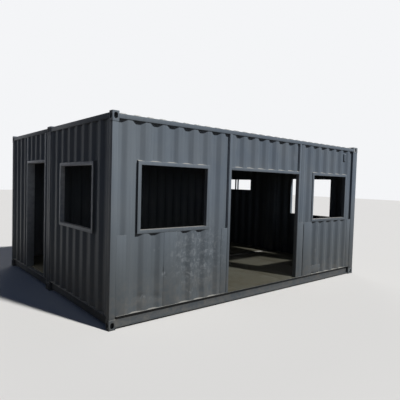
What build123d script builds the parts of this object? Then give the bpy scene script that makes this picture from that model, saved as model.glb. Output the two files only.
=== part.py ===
from build123d import *
import os

# Shipping container cabin: two container modules stand side by side and share one open
# room. Millimetres, +Z up, +X along the length, the door front faces -Y, and the origin
# is at the middle of the footprint on the ground.

os.makedirs("parts", exist_ok=True)

# Modules
length = 6096.0
module_width = 2438.0
height = 2896.0
half_length = length / 2
skin_inset = 4.0
wall_inset = 12.0

# Slim corner blocks and posts of the left end
block_x = 100.0
block_y = 95.0
block_z = 140.0
block_wall = 10.0
block_chamfer = 4.0
slim_post_x = 86.0
slim_post_y = 84.0
slim_post_wall = 4.0

# Large corner castings and posts of the right end
casting_x = 178.0
casting_y = 162.0
casting_z = 118.0
casting_wall = 16.0
casting_chamfer = 5.0
wide_post_x = 170.0
wide_post_y = 150.0
wide_post_wall = 6.0

# Lifting holes in both kinds of corner
side_hole_length = 80.0
side_hole_width = 54.0
slim_hole_height = 64.0
casting_hole_height = 59.0
top_hole_length = 124.0
top_hole_width = 63.0

# Rails
top_rail_drop = 35.0
top_rail_size = 60.0
top_rail_wall = 3.0
base_height = 28.0
sill_top = 178.0
flange_thickness = 6.0
web_thickness = 4.5
web_setback = 15.0
flange_width = 80.0
foot_flange_thickness = 5.0
ledge_thickness = 5.0
ledge_bearing = 30.0

# Corrugated wall sheet
sheet = 2.0
pitch = 278.0
recess_depth = 36.0
recess_flat = 70.0
recess_slope = 68.0

# Corrugated roof sheet
roof_pitch = 209.0
roof_depth = 20.0
roof_valley = 91.0
roof_slope = 19.0
roof_margin = 10.0

# Floor
floor_top = 188.0
board_thickness = 28.0
board_count = 5
board_gap = 4.0
board_clearance = 4.0
member_count = 14
member_end_gap = 245.0
member_flange = 45.0
member_wall = 4.0

# Window frames, welded angle iron: a face that laps on the sheet and a leg through it
frame_face = 50.0
frame_leg = 4.0
frame_depth = 70.0
frame_inset = 8.0

# Front windows
frame_top = 2265.0
window_width = 1280.0
window_height = 1000.0
window_from_end = 1040.0

# End windows of the front module, left and right
left_end_frame_top = 2248.0
left_end_window_width = 1330.0
left_end_window_height = 1022.0
left_end_window_y = 1190.0
right_end_frame_top = 2210.0
right_end_window_y = 1230.0

# High window of the rear module, with two meeting stiles
high_frame_top = 2170.0
high_window_width = 1352.0
high_window_height = 395.0
high_window_from_back = 968.0
stile_width = 36.0
stile_depth = 30.0
stile_spacing = 100.0

# Doorways
door_clear = 1820.0
door_post_width = 50.0
door_post_depth = 80.0
door_post_wall = 4.0
header_height = 50.0
end_door_clear = 1050.0
end_door_y = 760.0
end_door_top = 2325.0
end_door_post_depth = 140.0
post_clearance = 4.0

# Where the first whole recess of each sheet lies: on the front from the corner, the doorway
# and the right door post, and on the left end from the corner, the doorway and its far post
recess_start_left = 125.0
recess_start_over_door = 174.0
recess_start_right = 214.0
recess_start_left_end = 269.0
recess_start_over_end_door = 130.0
recess_start_far_end = 313.0

# Flush plates over some recesses of the lower front wall, with an open seam beside the door
plate_thickness = 3.0
plate_lap = 10.0
plate_gap = 3.0
plate_overhang = 43.0
plated_recess = 3
seam_from_recess = 54.0
seam_width = 19.0

# Small patch welded across one crest, low on the right of the front wall
patch_width = 291.0
patch_height = 143.0
patch_bottom = 212.0

# Ventilator
vent_width = 70.0
vent_height = 150.0
vent_depth = 28.0
vent_drop = 158.0
vent_chamfer = 5.0
louvre_count = 4
louvre_width = 49.0
louvre_height = 8.0
louvre_spacing = 30.0
louvre_depth = 6.0

# Derived levels and faces
crest = pitch - recess_flat - 2 * recess_slope
recess_reach = recess_flat / 2 + recess_slope
rail_top = height - top_rail_drop
rail_bottom = rail_top - top_rail_size
wall_height = rail_bottom - sill_top
left_face = -half_length
right_face = half_length
front_face = -module_width
back_face = module_width
left_clear = left_face + skin_inset + slim_post_x
right_clear = right_face - skin_inset - wide_post_x
rail_left = left_face + block_x
rail_right = right_face - casting_x
rail_length = rail_right - rail_left
rail_middle = (rail_left + rail_right) / 2
slim_post_length = height - 2 * block_z
wide_post_length = height - 2 * casting_z
module_middle = module_width / 2
wall_cut = 4 * (wall_inset + recess_depth)
lap = 2 * (frame_face - frame_leg)
window_bottom = frame_top - window_height
window_middle = frame_top - window_height / 2
left_end_window_z = left_end_frame_top - left_end_window_height / 2
right_end_window_z = right_end_frame_top - window_height / 2
high_window_z = high_frame_top - high_window_height / 2
high_window_y = back_face - high_window_from_back
left_window_x = left_face + window_from_end
right_window_x = right_face - window_from_end
door_post_outer = door_clear / 2 + door_post_width
end_door_outer = end_door_clear / 2 + door_post_width
end_door_near = end_door_y - end_door_clear / 2
door_frame_y = front_face + skin_inset + door_post_depth / 2
end_post_x = left_face + skin_inset + end_door_post_depth / 2
end_post_y = (end_door_clear + door_post_width) / 2
header_z = frame_top - header_height / 2
end_header_z = end_door_top - header_height / 2
floor_bottom = floor_top - board_thickness
floor_left = left_clear + board_clearance
floor_right = right_clear - board_clearance
left_recess = left_face + recess_start_left
over_door_recess = recess_start_over_door - door_clear / 2
right_recess = door_post_outer + recess_start_right
last_left_recess = left_recess + (-door_post_outer - left_recess) // pitch * pitch
last_right_recess = right_recess + (right_clear - right_recess) // pitch * pitch
plate_seam = right_recess - seam_from_recess
patched_crest = right_recess + 1.5 * pitch

# Wall planes: u runs along the wall and v runs into the room from the outer sheet face
front_plane = Plane((0, front_face + wall_inset, sill_top), x_dir=(1, 0, 0), z_dir=(0, 0, 1))
back_plane = Plane((0, back_face - wall_inset, sill_top), x_dir=(-1, 0, 0), z_dir=(0, 0, 1))
left_plane = Plane((left_face + wall_inset, 0, sill_top), x_dir=(0, -1, 0), z_dir=(0, 0, 1))
right_plane = Plane((right_face - wall_inset, 0, sill_top), x_dir=(0, 1, 0), z_dir=(0, 0, 1))


def corrugation(start, end, recess_middle, step, flat, slope, depth):
    """Corners of a trapezoid corrugation from start to end, with one recess at recess_middle."""
    reach = flat / 2 + slope

    def depth_at(u):
        away = abs((u - recess_middle + step / 2) % step - step / 2)
        return depth * min(1.0, max(0.0, (reach - away) / slope))

    first = int((start - recess_middle) // step) - 1
    last = int((end - recess_middle) // step) + 2
    bends = [
        recess_middle + n * step + side
        for n in range(first, last)
        for side in (-reach, -flat / 2, flat / 2, reach)
    ]
    stations = [start] + [u for u in bends if start + 1 < u < end - 1] + [end]
    return [(u, depth_at(u)) for u in stations]


def wall_sheet(start, end, recess_middle):
    """Sketch of one bent wall sheet, at its real thickness, in the wall's own plane."""
    corners = corrugation(
        start - sheet, end + sheet, recess_middle, pitch, recess_flat, recess_slope, recess_depth
    )
    with BuildSketch(mode=Mode.PRIVATE) as profile:
        with BuildLine():
            bent = Polyline(*corners)
            offset(bent, amount=sheet, side=Side.LEFT, kind=Kind.INTERSECTION)
        make_face()
        with Locations((start, 0)):
            Rectangle(
                end - start,
                4 * recess_depth,
                align=(Align.MIN, Align.CENTER),
                mode=Mode.INTERSECT,
            )
    return profile.sketch


# Room that the upper corner blocks and castings take out of the wall sheets
with BuildPart() as corner_room:
    for side in (-1, 1):
        for row in (0, 1):
            slim_row = side * (row * module_width + (0.5 - row) * block_y)
            wide_row = side * (row * module_width + (0.5 - row) * casting_y)
            with Locations((left_face + block_x / 2, slim_row, height - block_z / 2)):
                Box(block_x, block_y, block_z)
            with Locations((right_face - casting_x / 2, wide_row, height - casting_z / 2)):
                Box(casting_x, casting_y, casting_z)


# Corner blocks of the left end, welded box with a lifting hole in each outer face
with BuildPart() as front_left_corner_blocks:
    block_places = [
        (left_face + block_x / 2, front_face + block_y / 2),
        (left_face + block_x / 2, -block_y / 2),
    ]
    block_levels = [block_z / 2, height - block_z / 2]
    places = [(x, y, z) for x, y in block_places for z in block_levels]
    with Locations(*places):
        Box(block_x, block_y, block_z)
    chamfer(front_left_corner_blocks.edges().filter_by(Axis.Z), length=block_chamfer)
    with Locations(*places):
        Box(
            block_x - 2 * block_wall,
            block_y - 2 * block_wall,
            block_z - 2 * block_wall,
            mode=Mode.SUBTRACT,
        )
    hole_levels = [slim_hole_height, height - slim_hole_height]
    with BuildSketch(Plane.XZ.offset(-front_face)):
        with Locations(*[(left_face + block_x / 2, z) for z in hole_levels]):
            SlotOverall(side_hole_length, side_hole_width, rotation=90)
    extrude(amount=-2 * block_wall, mode=Mode.SUBTRACT)
    with BuildSketch(Plane.YZ.offset(left_face)):
        with Locations(*[(y, z) for x, y in block_places for z in hole_levels]):
            SlotOverall(side_hole_length, side_hole_width, rotation=90)
    extrude(amount=2 * block_wall, mode=Mode.SUBTRACT)
front_left_corner_blocks.part.label = "front_left_corner_blocks"
export_step(front_left_corner_blocks.part, "parts/front_left_corner_blocks.step")

# Corner castings of the right end, with lifting holes in the end, side, top and foot
with BuildPart() as front_right_corner_castings:
    casting_places = [
        (right_face - casting_x / 2, front_face + casting_y / 2),
        (right_face - casting_x / 2, -casting_y / 2),
    ]
    casting_levels = [casting_z / 2, height - casting_z / 2]
    places = [(x, y, z) for x, y in casting_places for z in casting_levels]
    with Locations(*places):
        Box(casting_x, casting_y, casting_z)
    chamfer(front_right_corner_castings.edges().filter_by(Axis.Z), length=casting_chamfer)
    with Locations(*places):
        Box(
            casting_x - 2 * casting_wall,
            casting_y - 2 * casting_wall,
            casting_z - 2 * casting_wall,
            mode=Mode.SUBTRACT,
        )
    hole_levels = [casting_hole_height, height - casting_hole_height]
    with BuildSketch(Plane.XZ.offset(-front_face)):
        with Locations(*[(right_face - casting_x / 2, z) for z in hole_levels]):
            SlotOverall(side_hole_length, side_hole_width, rotation=90)
    extrude(amount=-2 * casting_wall, mode=Mode.SUBTRACT)
    with BuildSketch(Plane.YZ.offset(right_face)):
        with Locations(*[(y, z) for x, y in casting_places for z in hole_levels]):
            SlotOverall(side_hole_length, side_hole_width, rotation=90)
    extrude(amount=-2 * casting_wall, mode=Mode.SUBTRACT)
    with BuildSketch(Plane.XY.offset(height)):
        with Locations(*casting_places):
            SlotOverall(top_hole_length, top_hole_width)
    extrude(amount=-2 * casting_wall, mode=Mode.SUBTRACT)
    with BuildSketch(Plane.XY):
        with Locations(*casting_places):
            SlotOverall(top_hole_length, top_hole_width)
    extrude(amount=2 * casting_wall, mode=Mode.SUBTRACT)
front_right_corner_castings.part.label = "front_right_corner_castings"
export_step(front_right_corner_castings.part, "parts/front_right_corner_castings.step")

# Corner posts: slim box posts on the left, wide box posts on the right
with BuildPart() as front_corner_posts:
    slim_x = left_face + skin_inset + slim_post_x / 2
    slim_y = skin_inset + slim_post_y / 2
    with BuildSketch(Plane.XY.offset(block_z)):
        with Locations((slim_x, front_face + slim_y), (slim_x, -slim_y)):
            Rectangle(slim_post_x, slim_post_y)
            Rectangle(
                slim_post_x - 2 * slim_post_wall,
                slim_post_y - 2 * slim_post_wall,
                mode=Mode.SUBTRACT,
            )
    extrude(amount=slim_post_length)
    wide_x = right_face - skin_inset - wide_post_x / 2
    wide_y = skin_inset + wide_post_y / 2
    with BuildSketch(Plane.XY.offset(casting_z)):
        with Locations((wide_x, front_face + wide_y), (wide_x, -wide_y)):
            Rectangle(wide_post_x, wide_post_y)
            Rectangle(
                wide_post_x - 2 * wide_post_wall,
                wide_post_y - 2 * wide_post_wall,
                mode=Mode.SUBTRACT,
            )
    extrude(amount=wide_post_length)
front_corner_posts.part.label = "front_corner_posts"
export_step(front_corner_posts.part, "parts/front_corner_posts.step")

# Top side rails, square tube from corner to corner
with BuildPart() as front_top_side_rails:
    rail_y = skin_inset + top_rail_size / 2
    with BuildSketch(Plane.YZ.offset(rail_left)):
        with Locations(
            (front_face + rail_y, rail_top - top_rail_size / 2),
            (-rail_y, rail_top - top_rail_size / 2),
        ):
            Rectangle(top_rail_size, top_rail_size)
            Rectangle(
                top_rail_size - 2 * top_rail_wall,
                top_rail_size - 2 * top_rail_wall,
                mode=Mode.SUBTRACT,
            )
    extrude(amount=rail_length)
front_top_side_rails.part.label = "front_top_side_rails"
export_step(front_top_side_rails.part, "parts/front_top_side_rails.step")

# Bottom side rails: a sill flange that stands out over a set-back web with a foot flange
with BuildPart() as front_bottom_side_rails:
    with BuildSketch(Plane.YZ.offset(rail_left)) as rail_section:
        outer = front_face + skin_inset
        with Locations((outer, sill_top - flange_thickness)):
            Rectangle(flange_width, flange_thickness, align=(Align.MIN, Align.MIN))
        with Locations((outer + web_setback, base_height)):
            Rectangle(
                web_thickness,
                sill_top - base_height - flange_thickness / 2,
                align=(Align.MIN, Align.MIN),
            )
        with Locations((outer, base_height)):
            Rectangle(
                web_setback + web_thickness,
                foot_flange_thickness,
                align=(Align.MIN, Align.MIN),
            )
    extrude(amount=rail_length)
    mirror(about=Plane.XZ.offset(module_middle))
front_bottom_side_rails.part.label = "front_bottom_side_rails"
export_step(front_bottom_side_rails.part, "parts/front_bottom_side_rails.step")

# End rails: box headers under the roof ends, and sills with a ledge that carries the floor
with BuildPart() as front_end_rails:
    slim_run = module_width - 2 * block_y
    wide_run = module_width - 2 * casting_y
    left_header = block_x - skin_inset
    right_header = casting_x - skin_inset
    left_web = left_face + skin_inset + web_setback
    right_web = right_face - skin_inset - web_setback
    ledge_bottom = floor_bottom - ledge_thickness
    header_level = rail_top - top_rail_size / 2
    with BuildSketch(Plane.XZ.offset(module_width - block_y)):
        with Locations((left_face + skin_inset + left_header / 2, header_level)):
            Rectangle(left_header, top_rail_size)
            Rectangle(
                left_header - 2 * top_rail_wall,
                top_rail_size - 2 * top_rail_wall,
                mode=Mode.SUBTRACT,
            )
        with Locations((left_face + skin_inset, sill_top - flange_thickness)):
            Rectangle(flange_width, flange_thickness, align=(Align.MIN, Align.MIN))
        with Locations((left_web, base_height)):
            Rectangle(
                web_thickness,
                sill_top - base_height - flange_thickness / 2,
                align=(Align.MIN, Align.MIN),
            )
        with Locations((left_web, ledge_bottom)):
            Rectangle(
                floor_left + ledge_bearing - left_web,
                ledge_thickness,
                align=(Align.MIN, Align.MIN),
            )
    extrude(amount=-slim_run)
    with BuildSketch(Plane.XZ.offset(module_width - casting_y)):
        with Locations((right_face - skin_inset - right_header / 2, header_level)):
            Rectangle(right_header, top_rail_size)
            Rectangle(
                right_header - 2 * top_rail_wall,
                top_rail_size - 2 * top_rail_wall,
                mode=Mode.SUBTRACT,
            )
        with Locations((right_face - skin_inset, sill_top - flange_thickness)):
            Rectangle(flange_width, flange_thickness, align=(Align.MAX, Align.MIN))
        with Locations((right_web, base_height)):
            Rectangle(
                web_thickness,
                sill_top - base_height - flange_thickness / 2,
                align=(Align.MAX, Align.MIN),
            )
        with Locations((right_web, ledge_bottom)):
            Rectangle(
                right_web - floor_right + ledge_bearing,
                ledge_thickness,
                align=(Align.MAX, Align.MIN),
            )
    extrude(amount=-wide_run)
front_end_rails.part.label = "front_end_rails"
export_step(front_end_rails.part, "parts/front_end_rails.step")

# Cross members, open channels that carry the floor between the bottom side rails
with BuildPart() as front_cross_members:
    member_inset = skin_inset + web_setback + web_thickness
    member_height = floor_bottom - base_height - foot_flange_thickness
    member_run = module_width - 2 * member_inset
    member_spacing = (rail_length - 2 * member_end_gap) / (member_count - 1)
    with BuildSketch(Plane.XZ.offset(module_width - member_inset)):
        with Locations((rail_middle, floor_bottom - member_height / 2)):
            with GridLocations(member_spacing, 1, member_count, 1):
                Rectangle(member_flange, member_height)
                with Locations((member_wall, 0)):
                    Rectangle(
                        member_flange,
                        member_height - 2 * member_wall,
                        mode=Mode.SUBTRACT,
                    )
    extrude(amount=-member_run)
front_cross_members.part.label = "front_cross_members"
export_step(front_cross_members.part, "parts/front_cross_members.step")

# Floor boards, five plywood sheets and a narrow one between the wide posts
with BuildPart() as front_floor_boards:
    floor_inset = skin_inset + flange_width + board_clearance
    board_step = (floor_right - floor_left + board_gap) / board_count
    floor_run = module_width - 2 * floor_inset
    with BuildSketch(Plane.XY.offset(floor_bottom)):
        with Locations(((floor_left + floor_right) / 2, -module_middle)):
            with GridLocations(board_step, 1, board_count, 1):
                Rectangle(board_step - board_gap, floor_run)
        with Locations((floor_right + board_gap, -module_middle)):
            Rectangle(
                right_face - floor_inset - floor_right - board_gap,
                wide_run - 2 * board_clearance,
                align=(Align.MIN, Align.CENTER),
            )
    extrude(amount=board_thickness)
front_floor_boards.part.label = "front_floor_boards"
export_step(front_floor_boards.part, "parts/front_floor_boards.step")

# Roof sheet, corrugated across the module and laid on the top side rails
with BuildPart() as front_roof_sheet:
    roof_corners = corrugation(
        rail_left, rail_right, rail_middle, roof_pitch, roof_valley, roof_slope, -roof_depth
    )
    roof_run = module_width - 2 * (skin_inset + roof_margin)
    with BuildSketch(Plane.XZ.offset(module_width - skin_inset - roof_margin)):
        with BuildLine():
            roof_line = Polyline(*[(x, rail_top + roof_depth + z) for x, z in roof_corners])
            offset(roof_line, amount=sheet, side=Side.LEFT, kind=Kind.INTERSECTION)
        make_face()
    extrude(amount=-roof_run)
front_roof_sheet.part.label = "front_roof_sheet"
export_step(front_roof_sheet.part, "parts/front_roof_sheet.step")

# Front wall, left of the door, with the cut-out for its window
with BuildPart() as front_wall_left:
    with BuildSketch(front_plane):
        add(wall_sheet(left_clear, -door_post_outer, left_recess))
    extrude(amount=wall_height)
    with Locations((left_window_x, front_face, window_middle)):
        Box(window_width - lap, wall_cut, window_height - lap, mode=Mode.SUBTRACT)
    add(corner_room.part, mode=Mode.SUBTRACT)
front_wall_left.part.label = "front_wall_left"
export_step(front_wall_left.part, "parts/front_wall_left.step")

# Front wall over the door
with BuildPart() as front_wall_over_door:
    with BuildSketch(front_plane.offset(frame_top - sill_top)):
        add(wall_sheet(-door_clear / 2, door_clear / 2, over_door_recess))
    extrude(amount=rail_bottom - frame_top)
front_wall_over_door.part.label = "front_wall_over_door"
export_step(front_wall_over_door.part, "parts/front_wall_over_door.step")

# Front wall, right of the door, with the cut-out for its window
with BuildPart() as front_wall_right:
    with BuildSketch(front_plane):
        add(wall_sheet(door_post_outer, right_clear, right_recess))
    extrude(amount=wall_height)
    with Locations((right_window_x, front_face, window_middle)):
        Box(window_width - lap, wall_cut, window_height - lap, mode=Mode.SUBTRACT)
    add(corner_room.part, mode=Mode.SUBTRACT)
front_wall_right.part.label = "front_wall_right"
export_step(front_wall_right.part, "parts/front_wall_right.step")

# Flush plates below the window sills, over the recesses at the corners and the doorway and
# over one between them, and the small patch
with BuildPart() as front_infill_plates:
    plate_spans = [
        (left_clear + plate_gap, left_recess + recess_reach + plate_lap),
        (
            left_recess + plated_recess * pitch - recess_reach - plate_lap,
            left_recess + plated_recess * pitch + recess_reach + plate_lap,
        ),
        (last_left_recess - recess_reach - plate_lap, -door_post_outer - plate_gap),
        (door_post_outer + plate_gap, plate_seam - seam_width / 2),
        (plate_seam + seam_width / 2, right_recess + pitch - recess_reach + plate_overhang),
        (last_right_recess - recess_reach - plate_lap, right_clear - plate_gap),
    ]
    with BuildSketch(Plane.XZ.offset(module_width - wall_inset)):
        for start, end in plate_spans:
            with Locations((start, sill_top)):
                Rectangle(
                    end - start,
                    window_bottom - plate_gap - sill_top,
                    align=(Align.MIN, Align.MIN),
                )
        with Locations((patched_crest, patch_bottom)):
            Rectangle(patch_width, patch_height, align=(Align.CENTER, Align.MIN))
    extrude(amount=plate_thickness)
front_infill_plates.part.label = "front_infill_plates"
export_step(front_infill_plates.part, "parts/front_infill_plates.step")

# Door posts of the front, rectangular tube from the sill to the top rail
with BuildPart() as front_door_posts:
    with BuildSketch(Plane.XY.offset(sill_top)):
        post_x = (door_clear + door_post_width) / 2
        with Locations((-post_x, door_frame_y), (post_x, door_frame_y)):
            Rectangle(door_post_width, door_post_depth)
            Rectangle(
                door_post_width - 2 * door_post_wall,
                door_post_depth - 2 * door_post_wall,
                mode=Mode.SUBTRACT,
            )
    extrude(amount=wall_height)
front_door_posts.part.label = "front_door_posts"
export_step(front_door_posts.part, "parts/front_door_posts.step")

# Header of the front door, between its posts
with BuildPart() as front_door_header:
    with BuildSketch(Plane.YZ.offset(-door_clear / 2)):
        with Locations((door_frame_y, header_z)):
            Rectangle(door_post_depth, header_height)
            Rectangle(
                door_post_depth - 2 * door_post_wall,
                header_height - 2 * door_post_wall,
                mode=Mode.SUBTRACT,
            )
    extrude(amount=door_clear)
front_door_header.part.label = "front_door_header"
export_step(front_door_header.part, "parts/front_door_header.step")


def frame_ring(clear_width, clear_height, band):
    """Sketch of a rectangular ring of that band round a clear opening."""
    with BuildSketch(mode=Mode.PRIVATE) as ring:
        Rectangle(clear_width + 2 * band, clear_height + 2 * band)
        Rectangle(clear_width, clear_height, mode=Mode.SUBTRACT)
    return ring.sketch


def window_frame(plane, width, tall):
    """Angle-iron frame of that outer size, centred on a plane whose normal points indoors."""
    clear = (width - 2 * frame_face, tall - 2 * frame_face)
    with BuildPart(mode=Mode.PRIVATE) as made:
        with BuildSketch(plane):
            add(frame_ring(*clear, frame_face))
        extrude(amount=frame_leg)
        with BuildSketch(plane):
            add(frame_ring(*clear, frame_leg))
        extrude(amount=frame_depth)
    return made.part


def window_plane(x, y, z, indoors):
    """Upright plane at a window's middle, with its normal pointing indoors."""
    across = (indoors[1], -indoors[0], 0)
    return Plane((x, y, z), x_dir=across, z_dir=indoors)


# Window frames of the front wall
frame_y = front_face + frame_inset
with BuildPart() as front_left_window_frame:
    spot = window_plane(left_window_x, frame_y, window_middle, (0, 1, 0))
    add(window_frame(spot, window_width, window_height))
front_left_window_frame.part.label = "front_left_window_frame"
export_step(front_left_window_frame.part, "parts/front_left_window_frame.step")

with BuildPart() as front_right_window_frame:
    spot = window_plane(right_window_x, frame_y, window_middle, (0, 1, 0))
    add(window_frame(spot, window_width, window_height))
front_right_window_frame.part.label = "front_right_window_frame"
export_step(front_right_window_frame.part, "parts/front_right_window_frame.step")

# Ventilator in a recess near the right end of the front wall
with BuildPart() as front_wall_ventilator:
    vent_x = last_right_recess - pitch
    vent_z = rail_bottom - vent_drop
    vent_seat = front_face + wall_inset + recess_depth
    with BuildSketch(Plane.XZ.offset(-vent_seat)):
        with Locations((vent_x, vent_z)):
            Rectangle(vent_width, vent_height)
    extrude(amount=vent_depth)
    chamfer(front_wall_ventilator.faces().sort_by(Axis.Y)[0].edges(), length=vent_chamfer)
    with Locations(Plane.XZ.offset(vent_depth - vent_seat)):
        with Locations((vent_x, vent_z)):
            with GridLocations(1, louvre_spacing, 1, louvre_count):
                Box(louvre_width, louvre_height, 2 * louvre_depth, mode=Mode.SUBTRACT)
front_wall_ventilator.part.label = "front_wall_ventilator"
export_step(front_wall_ventilator.part, "parts/front_wall_ventilator.step")

# Left end wall of the front module, with its window cut-out
slim_clear = skin_inset + slim_post_y
wide_clear = skin_inset + wide_post_y
with BuildPart() as left_end_wall_front:
    with BuildSketch(left_plane):
        end_recess = module_width - recess_start_left_end
        add(wall_sheet(slim_clear, module_width - slim_clear, end_recess))
    extrude(amount=wall_height)
    with Locations((left_face, -left_end_window_y, left_end_window_z)):
        Box(
            wall_cut,
            left_end_window_width - lap,
            left_end_window_height - lap,
            mode=Mode.SUBTRACT,
        )
    add(corner_room.part, mode=Mode.SUBTRACT)
left_end_wall_front.part.label = "left_end_wall_front"
export_step(left_end_wall_front.part, "parts/left_end_wall_front.step")

with BuildPart() as left_end_window_frame:
    spot = window_plane(
        left_face + frame_inset, -left_end_window_y, left_end_window_z, (1, 0, 0)
    )
    add(window_frame(spot, left_end_window_width, left_end_window_height))
left_end_window_frame.part.label = "left_end_window_frame"
export_step(left_end_window_frame.part, "parts/left_end_window_frame.step")

# Right end wall of the front module, with its window cut-out
with BuildPart() as right_end_wall_front:
    with BuildSketch(right_plane):
        add(wall_sheet(wide_clear - module_width, -wide_clear, -module_middle))
    extrude(amount=wall_height)
    with Locations((right_face, -right_end_window_y, right_end_window_z)):
        Box(wall_cut, window_width - lap, window_height - lap, mode=Mode.SUBTRACT)
    add(corner_room.part, mode=Mode.SUBTRACT)
right_end_wall_front.part.label = "right_end_wall_front"
export_step(right_end_wall_front.part, "parts/right_end_wall_front.step")

with BuildPart() as right_end_window_frame:
    spot = window_plane(
        right_face - frame_inset, -right_end_window_y, right_end_window_z, (-1, 0, 0)
    )
    add(window_frame(spot, window_width, window_height))
right_end_window_frame.part.label = "right_end_window_frame"
export_step(right_end_window_frame.part, "parts/right_end_window_frame.step")

# Rear module: its frame, floor and roof mirror those of the front module
with BuildPart() as rear_left_corner_blocks:
    mirror(front_left_corner_blocks.part, about=Plane.XZ)
rear_left_corner_blocks.part.label = "rear_left_corner_blocks"
export_step(rear_left_corner_blocks.part, "parts/rear_left_corner_blocks.step")

with BuildPart() as rear_right_corner_castings:
    mirror(front_right_corner_castings.part, about=Plane.XZ)
rear_right_corner_castings.part.label = "rear_right_corner_castings"
export_step(rear_right_corner_castings.part, "parts/rear_right_corner_castings.step")

with BuildPart() as rear_corner_posts:
    mirror(front_corner_posts.part, about=Plane.XZ)
rear_corner_posts.part.label = "rear_corner_posts"
export_step(rear_corner_posts.part, "parts/rear_corner_posts.step")

with BuildPart() as rear_top_side_rails:
    mirror(front_top_side_rails.part, about=Plane.XZ)
rear_top_side_rails.part.label = "rear_top_side_rails"
export_step(rear_top_side_rails.part, "parts/rear_top_side_rails.step")

with BuildPart() as rear_bottom_side_rails:
    mirror(front_bottom_side_rails.part, about=Plane.XZ)
rear_bottom_side_rails.part.label = "rear_bottom_side_rails"
export_step(rear_bottom_side_rails.part, "parts/rear_bottom_side_rails.step")

with BuildPart() as rear_end_rails:
    mirror(front_end_rails.part, about=Plane.XZ)
rear_end_rails.part.label = "rear_end_rails"
export_step(rear_end_rails.part, "parts/rear_end_rails.step")

with BuildPart() as rear_cross_members:
    mirror(front_cross_members.part, about=Plane.XZ)
rear_cross_members.part.label = "rear_cross_members"
export_step(rear_cross_members.part, "parts/rear_cross_members.step")

with BuildPart() as rear_floor_boards:
    mirror(front_floor_boards.part, about=Plane.XZ)
    with Locations(
        (end_post_x, end_door_y - end_post_y, floor_bottom),
        (end_post_x, end_door_y + end_post_y, floor_bottom),
    ):
        Box(
            end_door_post_depth + 2 * post_clearance,
            door_post_width + 2 * post_clearance,
            4 * board_thickness,
            mode=Mode.SUBTRACT,
        )
rear_floor_boards.part.label = "rear_floor_boards"
export_step(rear_floor_boards.part, "parts/rear_floor_boards.step")

with BuildPart() as rear_roof_sheet:
    mirror(front_roof_sheet.part, about=Plane.XZ)
rear_roof_sheet.part.label = "rear_roof_sheet"
export_step(rear_roof_sheet.part, "parts/rear_roof_sheet.step")

# Back wall, one plain corrugated sheet from post to post
with BuildPart() as back_wall:
    with BuildSketch(back_plane):
        add(wall_sheet(-right_clear, -left_clear, -left_recess))
    extrude(amount=wall_height)
    add(corner_room.part, mode=Mode.SUBTRACT)
back_wall.part.label = "back_wall"
export_step(back_wall.part, "parts/back_wall.step")

# Left end wall of the rear module, split beside and over its doorway
with BuildPart() as left_end_wall_rear:
    inner_jamb = end_door_y - end_door_outer
    outer_jamb = end_door_y + end_door_outer
    over_recess = -end_door_near - recess_start_over_end_door
    far_recess = -outer_jamb - recess_start_far_end
    with BuildSketch(left_plane):
        add(wall_sheet(-inner_jamb, -slim_clear, over_recess))
        add(wall_sheet(slim_clear - module_width, -outer_jamb, far_recess))
    extrude(amount=wall_height)
    with BuildSketch(left_plane.offset(end_door_top - sill_top)):
        add(wall_sheet(-end_door_near - end_door_clear, -end_door_near, over_recess))
    extrude(amount=rail_bottom - end_door_top)
    add(corner_room.part, mode=Mode.SUBTRACT)
left_end_wall_rear.part.label = "left_end_wall_rear"
export_step(left_end_wall_rear.part, "parts/left_end_wall_rear.step")

# Deep door posts and header of the left end door
with BuildPart() as left_door_posts:
    with BuildSketch(Plane.XY.offset(sill_top)):
        with Locations(
            (end_post_x, end_door_y - end_post_y),
            (end_post_x, end_door_y + end_post_y),
        ):
            Rectangle(end_door_post_depth, door_post_width)
            Rectangle(
                end_door_post_depth - 2 * door_post_wall,
                door_post_width - 2 * door_post_wall,
                mode=Mode.SUBTRACT,
            )
    extrude(amount=wall_height)
left_door_posts.part.label = "left_door_posts"
export_step(left_door_posts.part, "parts/left_door_posts.step")

with BuildPart() as left_door_header:
    with BuildSketch(Plane.XZ.offset(-end_door_near)):
        with Locations((end_post_x, end_header_z)):
            Rectangle(end_door_post_depth, header_height)
            Rectangle(
                end_door_post_depth - 2 * door_post_wall,
                header_height - 2 * door_post_wall,
                mode=Mode.SUBTRACT,
            )
    extrude(amount=-end_door_clear)
left_door_header.part.label = "left_door_header"
export_step(left_door_header.part, "parts/left_door_header.step")

# Right end wall of the rear module, with the cut-out for a high window
with BuildPart() as right_end_wall_rear:
    with BuildSketch(right_plane):
        add(wall_sheet(wide_clear, module_width - wide_clear, module_middle))
    extrude(amount=wall_height)
    with Locations((right_face, high_window_y, high_window_z)):
        Box(wall_cut, high_window_width - lap, high_window_height - lap, mode=Mode.SUBTRACT)
    add(corner_room.part, mode=Mode.SUBTRACT)
right_end_wall_rear.part.label = "right_end_wall_rear"
export_step(right_end_wall_rear.part, "parts/right_end_wall_rear.step")

# High window frame, with two meeting stiles
with BuildPart() as right_high_window_frame:
    spot = window_plane(
        right_face - frame_inset, high_window_y, high_window_z, (-1, 0, 0)
    )
    add(window_frame(spot, high_window_width, high_window_height))
    with BuildSketch(spot):
        with GridLocations(stile_spacing, 1, 2, 1):
            Rectangle(stile_width, high_window_height - lap)
    extrude(amount=stile_depth)
right_high_window_frame.part.label = "right_high_window_frame"
export_step(right_high_window_frame.part, "parts/right_high_window_frame.step")
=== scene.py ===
"""Shipping container cabin: sheets, frame, welds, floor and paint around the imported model."""

import math

import bmesh
import bpy
from mathutils import Matrix, Vector, noise


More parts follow.
